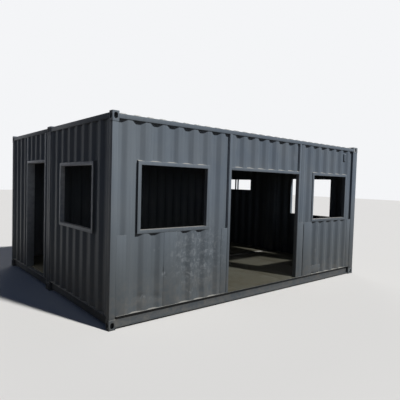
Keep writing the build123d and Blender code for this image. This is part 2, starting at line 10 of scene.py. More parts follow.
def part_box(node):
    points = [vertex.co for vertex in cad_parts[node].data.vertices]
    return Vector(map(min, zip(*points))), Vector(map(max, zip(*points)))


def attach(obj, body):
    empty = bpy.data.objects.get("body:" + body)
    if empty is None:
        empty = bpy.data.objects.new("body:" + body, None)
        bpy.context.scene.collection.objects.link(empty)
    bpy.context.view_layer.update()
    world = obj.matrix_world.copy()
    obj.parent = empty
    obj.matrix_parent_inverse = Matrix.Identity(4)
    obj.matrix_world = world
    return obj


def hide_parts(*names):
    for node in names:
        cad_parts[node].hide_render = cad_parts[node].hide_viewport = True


bl_info = {
    "name": "Container cabin",
    "version": (1, 0, 0),
    "blender": (4, 5, 0),
    "location": "View3D > Sidebar > Cabin",
    "description": "Builds the corrugated sheets, frame, welds, floor and paint of a cabin",
    "category": "Object",
}

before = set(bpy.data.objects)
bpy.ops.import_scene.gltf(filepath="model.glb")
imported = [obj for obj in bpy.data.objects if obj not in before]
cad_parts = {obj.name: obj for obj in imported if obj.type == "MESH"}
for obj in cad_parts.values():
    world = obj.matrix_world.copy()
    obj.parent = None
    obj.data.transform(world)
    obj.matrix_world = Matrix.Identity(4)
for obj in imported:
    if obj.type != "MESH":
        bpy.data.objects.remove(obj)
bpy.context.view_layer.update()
MM = 0.001

# Photograph's camera: focal length and principal point in pixels of a 400 pixel frame
PHOTO_PIXELS = 400
FOCAL_PIXELS = 389.77
PRINCIPAL_X = 212
SENSOR_MM = 36
CAMERA_PLACE = (-5.3414, -7.1121, 1.9922)
CAMERA_YAW = 0.71007
CAMERA_PITCH = -0.04342
CAMERA_ROLL = 0.02990


def linear(code):
    """Linear colour of an sRGB hex code."""
    parts = [int(code[i : i + 2], 16) / 255 for i in (1, 3, 5)]
    bent = [p / 12.92 if p <= 0.04045 else ((p + 0.055) / 1.055) ** 2.4 for p in parts]
    return (*bent, 1.0)


def add_node(tree, kind, inputs=None, **settings):
    """Adds a node to a tree, with its settings, and its inputs as values or links."""
    made = tree.nodes.new(kind)
    for name, value in settings.items():
        setattr(made, name, value)
    for socket, value in (inputs or {}).items():
        if isinstance(value, bpy.types.NodeSocket):
            tree.links.new(value, made.inputs[socket])
        else:
            made.inputs[socket].default_value = value
    return made


def length_setting(name, description, default):
    """A length that a user can change."""
    return bpy.props.FloatProperty(
        name=name, description=description, default=default, unit="LENGTH"
    )


def colour_setting(name, description, code):
    """A colour that a user can change, with its default as a hex code."""
    return bpy.props.FloatVectorProperty(
        name=name, description=description, default=linear(code), size=4, subtype="COLOR"
    )


class CabinSizes(bpy.types.PropertyGroup):
    """Sizes of the sheets, edges and welds."""

    pitch: length_setting("Wall pitch", "Distance from recess to recess", 278 * MM)
    depth: length_setting("Recess depth", "Depth of the wall recesses", 36 * MM)
    flat: length_setting("Recess floor", "Flat width of a recess", 70 * MM)
    slope: length_setting("Recess side", "Width of a sloped side", 68 * MM)
    roof_pitch: length_setting("Roof pitch", "Distance from valley to valley", 209 * MM)
    roof_depth: length_setting("Roof depth", "Height of the roof ribs", 20 * MM)
    roof_flat: length_setting("Roof valley", "Flat width of a roof valley", 91 * MM)
    roof_slope: length_setting("Roof side", "Width of a rib's side", 19 * MM)
    roof_taper: length_setting("Roof taper", "Length over which ribs are pressed flat", 40 * MM)
    sheet: length_setting("Sheet", "Thickness of the sheets", 2 * MM)
    tube_radius: length_setting("Tube corner", "Rounding of tubes and rails", 4 * MM)
    bead: length_setting("Weld bead", "Radius of a weld bead", 3.5 * MM)
    cap_rise: length_setting("Cap rise", "Fall of the closures over the frames", 14 * MM)
    waviness: length_setting("Waviness", "How far the sheets are out of flat", 1.5 * MM)


class CabinColours(bpy.types.PropertyGroup):
    """Colours of the paint, floor and stage."""

    paint: colour_setting("Paint", "Slate grey enamel", "#5D6670")
    faded: colour_setting("Faded paint", "Enamel where sun and rain dulled it", "#666D74")
    dust: colour_setting("Dust", "Dry soil on the lower walls", "#7E766A")
    scuff: colour_setting("Scuffs", "Pale rubbed paint", "#979C9F")
    film: colour_setting("Road film", "Grey film on the lower half", "#484C4D")
    settled: colour_setting("Settled dust", "Pale dust on what faces up", "#A8A59D")
    cast: colour_setting("Castings", "Dusty enamel on cast steel", "#7E8387")
    bitumen: colour_setting("Underbody", "Bitumen coating", "#1C1D1E")
    plywood: colour_setting("Plywood", "Worn floor plywood", "#464234")
    floor: colour_setting("Stage floor", "Pale studio floor", "#DCDAD6")


# Each side's own axes in the frame: along the sheet, up it and outwards
SIDE_AXES = {
    "front": ((1, 0, 0), (0, 0, 1), (0, -1, 0)),
    "back": ((-1, 0, 0), (0, 0, 1), (0, 1, 0)),
    "left": ((0, -1, 0), (0, 0, 1), (-1, 0, 0)),
    "right": ((0, 1, 0), (0, 0, 1), (1, 0, 0)),
    "roof": ((1, 0, 0), (0, 1, 0), (0, 0, 1)),
}


def sheet_matrix(node, side):
    """Turns a sheet's own axes into the frame's, with its origin on the sheet's outer face."""
    low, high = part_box(node)
    axes = SIDE_AXES[side]
    anchor = [(high if way > 0 else low)[i] if way else 0 for i, way in enumerate(axes[2])]
    return Matrix.Translation(anchor) @ Matrix(axes).transposed().to_4x4()


def outline(node, side, inset=0.0):
    """Low and high corner, along and up, of a node seen on a side, drawn in by inset."""
    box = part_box(node)
    (left, right), (foot, top) = [
        sorted(Vector(axis).dot(corner) for corner in box) for axis in SIDE_AXES[side][:2]
    ]
    return (left + inset, foot + inset), (right - inset, top - inset)


def new_tree(name, lengths, counts=(), on_mesh=False):
    """Empty geometry tree with inputs for lengths, counts and a material, and its inputs."""
    tree = bpy.data.node_groups.new(name, "GeometryNodeTree")
    tree.interface.new_socket("Geometry", in_out="OUTPUT", socket_type="NodeSocketGeometry")
    sockets = [("Geometry", "NodeSocketGeometry")] if on_mesh else []
    sockets += [(length, "NodeSocketFloat") for length in lengths]
    sockets += [(count, "NodeSocketInt") for count in counts]
    for socket, kind in (*sockets, ("Material", "NodeSocketMaterial")):
        tree.interface.new_socket(socket, in_out="INPUT", socket_type=kind)
    return tree, add_node(tree, "NodeGroupInput").outputs


def ended(tree, geometry, given):
    """The tree, ended with real geometry of the given material."""
    whole = add_node(tree, "GeometryNodeRealizeInstances", {"Geometry": geometry})
    coat = {"Geometry": whole.outputs[0], "Material": given["Material"]}
    painted = add_node(tree, "GeometryNodeSetMaterial", coat)
    add_node(tree, "NodeGroupOutput", {0: painted.outputs[0]})
    return tree


def corrugation_tree():
    """Geometry nodes of a bent sheet: a grid pushed inwards into trapezoid recesses."""
    lengths = ("Width", "Height", "Pitch", "Depth", "Flat", "Slope", "Middle", "Taper")
    shares = ("Softness", "Crowding")
    tree, given = new_tree("Corrugated sheet", lengths + shares, ("Columns", "Rows"))

    def maths(operation, a, b=0.0, c=0.0):
        inputs = {0: a, 1: b, 2: c}
        return add_node(tree, "ShaderNodeMath", inputs, operation=operation).outputs[0]

    size = {
        "Size X": given["Width"],
        "Size Y": given["Height"],
        "Vertices X": given["Columns"],
        "Vertices Y": given["Rows"],
    }
    grid = add_node(tree, "GeometryNodeMeshGrid", size)
    position = add_node(tree, "GeometryNodeInputPosition").outputs[0]
    here = add_node(tree, "ShaderNodeSeparateXYZ", {0: position}).outputs
    # Distance along the sheet to the middle of the nearest recess, and the bend from that
    along = maths("ADD", here["X"], maths("MULTIPLY", given["Width"], 0.5))
    half_pitch = maths("MULTIPLY", given["Pitch"], 0.5)
    shifted = maths("ADD", maths("SUBTRACT", along, given["Middle"]), half_pitch)
    wrapped = maths("FLOORED_MODULO", shifted, given["Pitch"])
    away = maths("ABSOLUTE", maths("SUBTRACT", wrapped, half_pitch))
    reach = maths("ADD", maths("MULTIPLY", given["Flat"], 0.5), given["Slope"])
    ramp = maths("DIVIDE", maths("SUBTRACT", reach, away), given["Slope"])
    foot = maths("SMOOTH_MAX", ramp, 0.0, given["Softness"])
    bend = maths("SMOOTH_MIN", foot, 1.0, given["Softness"])
    # Rows crowd towards both ends, where the ribs of a roof are pressed flat
    half_height = maths("MULTIPLY", given["Height"], 0.5)
    share = maths("DIVIDE", here["Y"], half_height)
    cubed = maths("MULTIPLY", maths("POWER", share, 3.0), 0.5)
    pull = maths("SUBTRACT", maths("MULTIPLY", share, 0.5), cubed)
    crowded = maths("MULTIPLY_ADD", pull, given["Crowding"], share)
    up = maths("MULTIPLY", crowded, half_height)
    edge = maths("ADD", maths("SUBTRACT", half_height, maths("ABSOLUTE", up)), 0.1 * MM)
    nearness = {"Value": maths("DIVIDE", edge, given["Taper"])}
    pressed = add_node(tree, "ShaderNodeMapRange", nearness, interpolation_type="SMOOTHSTEP")
    rise = maths("MULTIPLY", maths("SUBTRACT", 1.0, bend), pressed.outputs[0])
    outwards = maths("MULTIPLY", maths("SUBTRACT", rise, 1.0), given["Depth"])
    place = add_node(tree, "ShaderNodeCombineXYZ", {"X": here["X"], "Y": up, "Z": outwards})
    bent = {"Geometry": grid.outputs["Mesh"], "Position": place.outputs[0]}
    return ended(tree, add_node(tree, "GeometryNodeSetPosition", bent).outputs[0], given)


def strip_tree():
    """Geometry nodes of a bead or strip: a rippled round section run along a mesh's edges."""
    tree, given = new_tree("Rippled strip", ("Radius", "Ripple"), on_mesh=True)
    curve = add_node(tree, "GeometryNodeMeshToCurve", {"Mesh": given["Geometry"]})
    spacing = {"Curve": curve.outputs[0], "Length": given["Ripple"]}
    even = add_node(tree, "GeometryNodeResampleCurve", spacing, mode="LENGTH")
    ripples = {"Min": 0.7, "Max": 1.1, "Seed": 5}
    unevenness = add_node(tree, "FunctionNodeRandomValue", ripples, data_type="FLOAT")
    ring = {"Resolution": 6, "Radius": given["Radius"]}
    run = {
        "Curve": even.outputs[0],
        "Profile Curve": add_node(tree, "GeometryNodeCurvePrimitiveCircle", ring).outputs[0],
        "Scale": unevenness.outputs[1],
        "Fill Caps": True,
    }
    return ended(tree, add_node(tree, "GeometryNodeCurveToMesh", run).outputs[0], given)


def screw_tree():
    """Geometry nodes of the floor screws: countersunk heads in straight rows."""
    lengths = ("Length", "Width", "Head", "Recess", "Head Height")
    tree, given = new_tree("Floor screws", lengths, ("Rows", "Screws"))
    size = {
        "Size X": given["Length"],
        "Size Y": given["Width"],
        "Vertices X": given["Rows"],
        "Vertices Y": given["Screws"],
    }
    cone = {
        "Vertices": 12,
        "Radius Top": given["Recess"],
        "Radius Bottom": given["Head"],
        "Depth": given["Head Height"],
    }
    spread = {
        "Points": add_node(tree, "GeometryNodeMeshGrid", size).outputs["Mesh"],
        "Instance": add_node(tree, "GeometryNodeMeshCone", cone).outputs["Mesh"],
    }
    return ended(tree, add_node(tree, "GeometryNodeInstanceOnPoints", spread).outputs[0], given)


def once(name, make):
    """The tree or material of that name, made on first use."""
    found = bpy.data.node_groups.get(name) or bpy.data.materials.get(name)
    return found or make()


def modified(mesh, kind, inputs=None, **settings):
    """Plain mesh that a modifier with these settings and inputs makes of a mesh."""
    holder = bpy.data.objects.new("holder", mesh)
    bpy.context.scene.collection.objects.link(holder)
    modifier = holder.modifiers.new("finish", kind)
    for name, value in settings.items():
        setattr(modifier, name, value)
    for identifier, value in (inputs or {}).items():
        modifier[identifier] = value
    graph = bpy.context.evaluated_depsgraph_get()
    made = bpy.data.meshes.new_from_object(holder.evaluated_get(graph), depsgraph=graph)
    holder.modifiers.remove(modifier)
    bpy.data.objects.remove(holder)
    return made


def grown(tree, values, start=None):
    """Plain mesh that a geometry tree makes with these input values."""
    inputs = {
        item.identifier: values[item.name]
        for item in tree.interface.items_tree
        if item.in_out == "INPUT" and item.name in values
    }
    mesh = start or bpy.data.meshes.new("start")
    return modified(mesh, "NODES", inputs, node_group=tree)


def thickened(mesh, thickness):
    """The sheet's real thickness, grown inwards from its outer face."""
    return modified(mesh, "SOLIDIFY", thickness=thickness, offset=-1)


def plain_mesh(shape, name):
    """Mesh of an edit mesh, which is freed."""
    mesh = bpy.data.meshes.new(name)
    shape.to_mesh(mesh)
    shape.free()
    return mesh


def plate(corners, thickness):
    """Flat plate with these corners."""
    shape = bmesh.new()
    shape.faces.new([shape.verts.new(corner) for corner in corners])
    return thickened(plain_mesh(shape, "plate"), thickness)


def joined(meshes, name):
    """One mesh from several of one material."""
    shape = bmesh.new()
    for mesh in meshes:
        shape.from_mesh(mesh)
    whole = plain_mesh(shape, name)
    for material in meshes[0].materials:
        whole.materials.append(material)
    return whole


def smooth_except(mesh, degrees):
    """Smooth shading with creases where faces meet at more than this angle."""
    mesh.polygons.foreach_set("use_smooth", [True] * len(mesh.polygons))
    mesh.set_sharp_from_angle(angle=math.radians(degrees))


def strips(lines, radius, ripple, material):
    """Rippled round strips along lines of points, such as weld beads."""
    points, edges = [], []
    for line in lines:
        edges += [(len(points) + i, len(points) + i + 1) for i in range(len(line) - 1)]
        points += line
    mesh = bpy.data.meshes.new("lines")
    mesh.from_pydata(points, edges, [])
    values = {"Radius": radius, "Ripple": ripple, "Material": material}
    made = grown(once("Rippled strip", strip_tree), values, mesh)
    smooth_except(made, 60)
    return made


def eased_mesh(node, material, radius):
    """Copy of a CAD node with the small edge rounding that rolled and cast steel has."""
    shape = bmesh.new()
    shape.from_mesh(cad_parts[node].data)
    bmesh.ops.remove_doubles(shape, verts=shape.verts[:], dist=0.01 * MM)
    bmesh.ops.dissolve_limit(
        shape, angle_limit=math.radians(1), verts=shape.verts[:], edges=shape.edges[:]
    )
    mesh = plain_mesh(shape, node)
    mesh.materials.clear()
    mesh.materials.append(material)
    corner = math.radians(40)
    made = modified(
        mesh, "BEVEL", width=radius, segments=2, limit_method="ANGLE", angle_limit=corner
    )
    smooth_except(made, 35)
    return made


# Dust lies where a face's normal points up by more than this, and thickens at this rate
DUST_LEAN = 0.35
DUST_RATE = 1.4


def finished(name, mesh, slot, *stands_for, dust=0.75, clean_below=0.0):
    """Links a finished mesh as a piece on the cabin, in place of the solids it stands for.

    Each face is marked with how much dust lies on it, from how far it faces up.
    """
    shares = [
        min(dust, max(0.0, (face.normal.z - DUST_LEAN) * DUST_RATE)) * (face.center.z > clean_below)
        for face in mesh.polygons
    ]
    mesh.attributes.new("settled", "FLOAT", "FACE").data.foreach_set("value", shares)
    piece = bpy.data.objects.new(name, mesh)
    bpy.context.scene.collection.objects.link(piece)
    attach(piece, "root")
    if stands_for:
        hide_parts(*stands_for)


def emptied(owner):
    """Node tree of a new material or world, without its first nodes."""
    owner.use_nodes = True
    owner.node_tree.nodes.clear()
    return owner.node_tree


def blank_material(name):
    """A new material, its empty tree and its Object coordinates."""
    material = bpy.data.materials.new(name)
    tree = emptied(material)
    return material, tree, add_node(tree, "ShaderNodeTexCoord").outputs["Object"]


def surfaced(material, inputs, relief=None):
    """Ends a material with its shader, and its relief as height, strength and depth."""
    tree = material.node_tree
    if relief:
        bumps = dict(zip(("Height", "Strength", "Distance"), relief))
        inputs = {**inputs, "Normal": add_node(tree, "ShaderNodeBump", bumps).outputs[0]}
    surface = add_node(tree, "ShaderNodeBsdfPrincipled", inputs)
    add_node(tree, "ShaderNodeOutputMaterial", {"Surface": surface.outputs[0]})
    return material


# Rubbed spots on the front: along, up and radius in metres, and the level they lie on
RUB_SPOTS = (
    (-2.32, 1.02, 0.06), (-2.17, 0.64, 0.07), (-1.82, 0.79, 0.09), (-1.70, 0.34, 0.07),
    (-1.43, 1.02, 0.07), (-1.92, 1.13, 0.05), (-1.22, 0.92, 0.06), (-2.53, 0.37, 0.05),
    (-2.38, 0.32, 0.05), (1.58, 0.67, 0.05),
)
RUB_FACE = -2.42


def enamel_paint():
    """Slate grey alkyd enamel, brushed and sprayed over container steel.

    Chalked to a low sheen, with sun-dulled patches, rain streaks, dry soil low down, dust on
    what faces up, and pale rub marks on the lower front.
    """
    colours = bpy.context.scene.cabin_colours
    material, tree, place = blank_material("slate_enamel")
    at = add_node(tree, "ShaderNodeSeparateXYZ", {0: place}).outputs
    drawn_out = add_node(tree, "ShaderNodeMapping", {"Vector": place, "Scale": (25.0, 25.0, 1.1)})
    patterns = {
        # Patches about 600 mm across
        "patches": {"Vector": place, "Scale": 1.7, "Detail": 5.0, "Roughness": 0.6},
        # Rain streaks, 40 mm wide and drawn out down the wall
        "streaks": {"Vector": drawn_out.outputs[0], "Scale": 1.0, "Detail": 3.0},
        # Splashes of soil, 110 mm across
        "splashes": {"Vector": place, "Scale": 9.0, "Detail": 8.0, "Roughness": 0.7},
        # Rub marks, 80 mm across
        "marks": {
            "Vector": place, "Scale": 13.0, "Detail": 7.0, "Roughness": 0.72, "Distortion": 0.9
        },
        # Orange peel of sprayed enamel, really 2 mm and drawn at 12 mm so that it shows
        "peel": {"Vector": place, "Scale": 80.0, "Detail": 3.0},
    }
    drawn = {
        name: add_node(tree, "ShaderNodeTexNoise", inputs).outputs[0]
        for name, inputs in patterns.items()
    }
    # Rub marks gather low on the front wall, left of the doorway
    ground = {"Vector": place, "Location": (2.64, 1.94, -1.53), "Scale": (1.7, 0.8, 1.7)}
    rub_place = add_node(tree, "ShaderNodeMapping", ground).outputs[0]
    rub_far = add_node(tree, "ShaderNodeVectorMath", {0: rub_place}, operation="LENGTH")
    # What each share of wear follows, where it starts, where it is full, its most, its course
    ranges = {
        "dulled": (drawn["patches"], 0.38, 0.68, 1.0, "LINEAR"),
        # The front is made paler, most towards its left corner, and the ends aren't
        "paler_front": (at["Y"], -2.34, -2.38, 0.5, "LINEAR"),
        "towards_left_corner": (at["X"], -0.9, -2.9, 1.0, "LINEAR"),
        "streaked": (drawn["streaks"], 0.5, 0.8, 0.28, "LINEAR"),
        # Grey road film, from the sill up to head height
        "filmed": (at["Z"], 2.1, 0.3, 0.75, "SMOOTHSTEP"),
        # Dark mud on the sill, up to the foot of the sheets, made dark enough to be painted shade
        # under the sill's flange too
        "muddied_and_shaded": (at["Z"], 0.2, 0.15, 0.35, "LINEAR"),
        # Dry soil, thickest at the sill and gone by 900 mm
        "soiled": (at["Z"], 0.9, 0.1, 0.35, "SMOOTHSTEP"),
        "splashed": (drawn["splashes"], 0.4, 0.75, 1.0, "LINEAR"),
        "smeared": (drawn["marks"], 0.46, 0.34, 0.5, "LINEAR"),
        "rubbed": (drawn["marks"], 0.5, 0.64, 0.44, "LINEAR"),
        "handled": (rub_far.outputs["Value"], 1.2, 0.4, 0.8, "SMOOTHSTEP"),
    }
    share = {}
    for name, (value, first, full, most, course) in ranges.items():
        inputs = {"Value": value, "From Min": first, "From Max": full, "To Max": most}
        ranged = add_node(tree, "ShaderNodeMapRange", inputs, interpolation_type=course)
        share[name] = ranged.outputs[0]
    for along, up, radius in RUB_SPOTS:
        ends = {0: place, 1: (along, RUB_FACE, up)}
        far = add_node(tree, "ShaderNodeVectorMath", ends, operation="DISTANCE").outputs["Value"]
        inputs = {"Value": far, "From Min": radius, "From Max": 0.4 * radius}
        both = {0: share["handled"], 1: add_node(tree, "ShaderNodeMapRange", inputs).outputs[0]}
        share["handled"] = add_node(tree, "ShaderNodeMath", both, operation="MAXIMUM").outputs[0]
    for name, where in (
        ("paler_front", "towards_left_corner"), ("soiled", "splashed"), ("smeared", "handled"),
        ("rubbed", "handled"),
    ):
        both = {0: share[name], 1: share[where]}
        share[name] = add_node(tree, "ShaderNodeMath", both, operation="MULTIPLY").outputs[0]
    dusted = add_node(tree, "ShaderNodeAttribute", attribute_name="settled")
    share["settled"] = dusted.outputs["Fac"]
    # The layers of wear, from the paint up to the dust that lies on whatever faces up
    coat = colours.paint
    for name, colour in (
        ("dulled", colours.faded),
        # Paler paint on the front, growing towards its left corner
        ("paler_front", linear("#70777C")),
        ("streaked", linear("#474D54")),
        ("filmed", colours.film),
        # Dark mud, and painted shade under the sill's flange
        ("muddied_and_shaded", linear("#2E3134")),
        ("soiled", colours.dust),
        ("smeared", linear("#3C403F")),
        ("rubbed", colours.scuff),
        ("settled", colours.settled),
    ):
        layer = {0: share[name], 6: coat, 7: colour}
        coat = add_node(tree, "ShaderNodeMix", layer, data_type="RGBA").outputs[2]
    soft = {0: share["soiled"], 1: 0.8, 2: 0.4}
    dullness = add_node(tree, "ShaderNodeMath", soft, operation="MULTIPLY_ADD").outputs[0]
    # Dust low on the walls scatters light forwards, so they shine more at a glancing look
    sheen = {"Value": at["Z"], "From Min": 0.8, "From Max": 2.3, "To Min": 1.18, "To Max": 1.11}
    gloss = add_node(tree, "ShaderNodeMapRange", sheen).outputs[0]
    inputs = {"Base Color": coat, "Roughness": dullness, "IOR": gloss}
    return surfaced(material, inputs, (drawn["peel"], 0.12, 0.4 * MM))


def cast_enamel():
    """Enamel on rough cast steel, paler where sand-cast grain holds dust."""
    colours = bpy.context.scene.cabin_colours
    return mottled_enamel("cast_enamel", colours.faded, colours.cast)


def bounce_lit_enamel():
    """Pale enamel that paints in light bounced onto shaded faces: the left end's door and window
    frames, and the doorway's reveals.
    """
    return mottled_enamel("bounce_lit_enamel", linear("#8C939A"), linear("#A8AFB6"))


def mottled_enamel(name, low, high):
    """Rough enamel blotched between two colours, with road film and settled dust."""
    colours = bpy.context.scene.cabin_colours
    material, tree, place = blank_material(name)
    # Blotches 80 mm across, and the pits of a sand casting, 6 mm across
    grain = {"Vector": place, "Scale": 12.0, "Detail": 7.0, "Roughness": 0.7}
    blotches = add_node(tree, "ShaderNodeTexNoise", grain).outputs[0]
    pits = add_node(tree, "ShaderNodeTexNoise", {"Vector": place, "Scale": 160.0, "Detail": 3.0})
    inputs = {"Value": blotches, "From Min": 0.35, "From Max": 0.7}
    blotched = add_node(tree, "ShaderNodeMapRange", inputs)
    height = add_node(tree, "ShaderNodeSeparateXYZ", {0: place}).outputs["Z"]
    inputs = {"Value": height, "From Min": 2.1, "From Max": 0.3, "To Max": 0.75}
    filmed = add_node(tree, "ShaderNodeMapRange", inputs, interpolation_type="SMOOTHSTEP")
    settled = add_node(tree, "ShaderNodeAttribute", attribute_name="settled")
    coat = low
    for share, colour in (
        (blotched.outputs[0], high),
        (filmed.outputs[0], colours.film),
        (settled.outputs["Fac"], colours.settled),
    ):
        layer = {0: share, 6: coat, 7: colour}
        coat = add_node(tree, "ShaderNodeMix", layer, data_type="RGBA").outputs[2]
    inputs = {"Base Color": coat, "Roughness": 0.5, "IOR": 1.25}
    return surfaced(material, inputs, (pits.outputs[0], 0.3, 0.8 * MM))


def bitumen_coat():
    """Bitumen brushed on the cross members: dull black and lumpy, with road dust on it."""
    colours = bpy.context.scene.cabin_colours
    material, tree, place = blank_material("bitumen_coat")
    # Brushed lumps, 33 mm across
    lumps = add_node(tree, "ShaderNodeTexNoise", {"Vector": place, "Scale": 30.0, "Detail": 6.0})
    inputs = {"Value": lumps.outputs[0], "From Min": 0.5, "From Max": 0.8, "To Max": 0.3}
    dusty = add_node(tree, "ShaderNodeMapRange", inputs)
    layer = {0: dusty.outputs[0], 6: colours.bitumen, 7: colours.dust}
    coat = add_node(tree, "ShaderNodeMix", layer, data_type="RGBA").outputs[2]
    inputs = {"Base Color": coat, "Roughness": 0.85, "IOR": 1.5}
    return surfaced(material, inputs, (lumps.outputs[0], 0.5, 1.5 * MM))


def hardwood_plywood():
    """Hardwood container plywood: grain along the boards, trodden pale, with dark stains."""
    colours = bpy.context.scene.cabin_colours
    material, tree, place = blank_material("hardwood_plywood")
    # Grain 6 mm wide, drawn out along the width of the cabin, and stains 430 mm across
    drawn_out = add_node(tree, "ShaderNodeMapping", {"Vector": place, "Scale": (160.0, 5.0, 60.0)})
    fibres = {"Vector": drawn_out.outputs[0], "Scale": 1.0, "Detail": 6.0}
    grain = add_node(tree, "ShaderNodeTexNoise", fibres).outputs[0]
    blots = {"Vector": place, "Scale": 2.3, "Detail": 7.0, "Roughness": 0.65}
    stains = add_node(tree, "ShaderNodeTexNoise", blots).outputs[0]
    coat = linear("#312F24")
    for pattern, first, full, most, colour in (
        (grain, 0.3, 0.7, 1.0, colours.plywood),
        (stains, 0.42, 0.7, 0.7, linear("#4A4B41")),
    ):
        inputs = {"Value": pattern, "From Min": first, "From Max": full, "To Max": most}
        share = add_node(tree, "ShaderNodeMapRange", inputs).outputs[0]
        layer = {0: share, 6: coat, 7: colour}
        coat = add_node(tree, "ShaderNodeMix", layer, data_type="RGBA").outputs[2]
    inputs = {"Base Color": coat, "Roughness": 0.78, "IOR": 1.5}
    return surfaced(material, inputs, (grain, 0.3, 0.6 * MM))


def zinc_screw():
    """Zinc-plated steel, dulled by feet: soft grey metal with fine scratches."""
    material, tree, place = blank_material("zinc_screw")
    # Scratches 3 mm apart
    marks = add_node(tree, "ShaderNodeTexNoise", {"Vector": place, "Scale": 300.0, "Detail": 3.0})
    inputs = {"Value": marks.outputs[0], "To Min": 0.35, "To Max": 0.6}
    dullness = add_node(tree, "ShaderNodeMapRange", inputs).outputs[0]
    inputs = {"Base Color": linear("#8D8A84"), "Metallic": 1.0, "Roughness": dullness}
    return surfaced(material, inputs)


def foam_strip():
    """Closed-cell EPDM foam, extruded in strips: soft black with an open, pitted skin."""
    material, tree, place = blank_material("epdm_foam")
    # Cells are really 0.5 mm, drawn at 3 mm so that they show
    cells = add_node(tree, "ShaderNodeTexNoise", {"Vector": place, "Scale": 330.0, "Detail": 2.0})
    inputs = {"Base Color": linear("#1B1B1A"), "Roughness": 0.95, "IOR": 1.45}
    return surfaced(material, inputs, (cells.outputs[0], 0.4, 0.5 * MM))


# Dents in the front sheets: along, up, half width, half height in metres, depth in mm
LEFT_DENTS = (
    (-2.35, 0.62, 0.07, 0.10, 6), (-1.95, 0.45, 0.10, 0.07, 7), (-1.72, 0.86, 0.06, 0.09, 5),
    (-1.38, 0.70, 0.09, 0.12, 8), (-1.55, 0.30, 0.12, 0.06, 6), (-1.12, 0.98, 0.05, 0.08, 5),
    (-2.56, 0.37, 0.05, 0.04, 16), (-2.30, 0.33, 0.06, 0.05, 14), (-2.19, 0.70, 0.03, 0.05, 9),
    (-1.79, 0.72, 0.04, 0.03, 9), (-1.80, 0.58, 0.03, 0.04, 8), (-1.50, 0.80, 0.04, 0.05, 8),
    (-1.47, 0.62, 0.05, 0.03, 8), (-1.24, 0.93, 0.04, 0.04, 8), (-1.84, 0.98, 0.05, 0.04, 7),
)
OVER_DENTS = ((0.77, 2.55, 0.03, 0.05, 11), (-0.30, 2.50, 0.10, 0.08, 3))
RIGHT_DENTS = (
    (1.42, 0.55, 0.08, 0.10, 5), (2.10, 0.40, 0.10, 0.06, 5), (1.80, 0.95, 0.06, 0.08, 4),
    (1.59, 1.02, 0.03, 0.05, 7),
)

# Wall sheets: node, side, rows of its grid, window frame and dents
WALL_SHEETS = (
    ("front_wall_left", "front", 88, "front_left_window_frame", LEFT_DENTS),
    ("front_wall_over_door", "front", 12, None, OVER_DENTS),
    ("front_wall_right", "front", 66, "front_right_window_frame", RIGHT_DENTS),
    ("back_wall", "back", 20, None, ()),
    ("left_end_wall_front", "left", 30, "left_end_window_frame", ()),
    ("right_end_wall_front", "right", 24, "right_end_window_frame", ()),
    ("right_end_wall_rear", "right", 24, "right_high_window_frame", ()),
)
REAR_LEFT_END_ROWS = 20
ROOF_ROWS = 24

# Columns in each pitch of a sheet's grid, on walls and on the roof
COLUMNS_PER_PITCH = 36
ROOF_COLUMNS_PER_PITCH = 22

# How far a window frame's face laps over the hole in the sheet
FRAME_LAP = 46 * MM

# Stretches of a wall shorter than this get no weld or cap
SHORTEST_RUN = 10 * MM

# Gentle waves in the sheets, to the metre along and up
WAVES = Vector((2.6, 1.8, 0.0))

# Distance from a wall's setting-out edge to the middle of its first whole recess
RECESS_START = {
    "front_left": 125 * MM,
    "over_door": 174 * MM,
    "front_right": 214 * MM,
    "left_front": 269 * MM,
    "over_end_door": 130 * MM,
    "left_far": 313 * MM,
}


def recess_middles():
    """Middle of one recess on each wall, along the wall's own axis."""
    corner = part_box("front_left_corner_blocks")[0]
    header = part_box("left_door_header")
    module_middle = corner.y / 2
    left = corner.x + RECESS_START["front_left"]
    return {
        "front_wall_left": left,
        "front_wall_over_door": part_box("front_door_header")[0].x + RECESS_START["over_door"],
        "front_wall_right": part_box("front_door_posts")[1].x + RECESS_START["front_right"],
        "back_wall": -left,
        "left_end_wall_front": -corner.y - RECESS_START["left_front"],
        "over_end_door": -header[0].y - RECESS_START["over_end_door"],
        "left_far": -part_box("left_door_posts")[1].y - RECESS_START["left_far"],
        "right_end_wall_front": module_middle,
        "right_end_wall_rear": -module_middle,
    }


def crest_share(sizes, u, middle):
    """How far a point along a wall is from the recess floor, from 0 to 1 at the crest."""
    away = abs((u - middle + sizes.pitch / 2) % sizes.pitch - sizes.pitch / 2)
    return min(1.0, max(0.0, (away - sizes.flat / 2) / sizes.slope))


def wall_runs(sizes, start, end, middle, crests=True):
    """Stretches between start and end that lie on a wall's crests, or else over its recesses."""
    reach = sizes.flat / 2 + sizes.slope
    before, after = (reach, sizes.pitch - reach) if crests else (-reach, reach)
    first = math.floor((start - middle) / sizes.pitch) - 1
    last = math.ceil((end - middle) / sizes.pitch) + 1
    runs = []
    for n in range(first, last):
        low = max(start, middle + n * sizes.pitch + before)
        high = min(end, middle + n * sizes.pitch + after)
        if high - low > SHORTEST_RUN:
            runs.append((low, high))
    return runs


def cut_window(shape, low, high):
    """Cuts a rectangle out of a sheet mesh, given its low and high corner along and up."""
    for axis in (0, 1):
        for level in (low[axis], high[axis]):
            normal = Vector((axis == 0, axis == 1, 0))
            every = shape.verts[:] + shape.edges[:] + shape.faces[:]
            bmesh.ops.bisect_plane(shape, geom=every, plane_co=normal * level, plane_no=normal)
    gone = [
        face
        for face in shape.faces
        if low[0] < face.calc_center_median().x < high[0]
        and low[1] < face.calc_center_median().y < high[1]
    ]
    bmesh.ops.delete(shape, geom=gone, context="FACES")


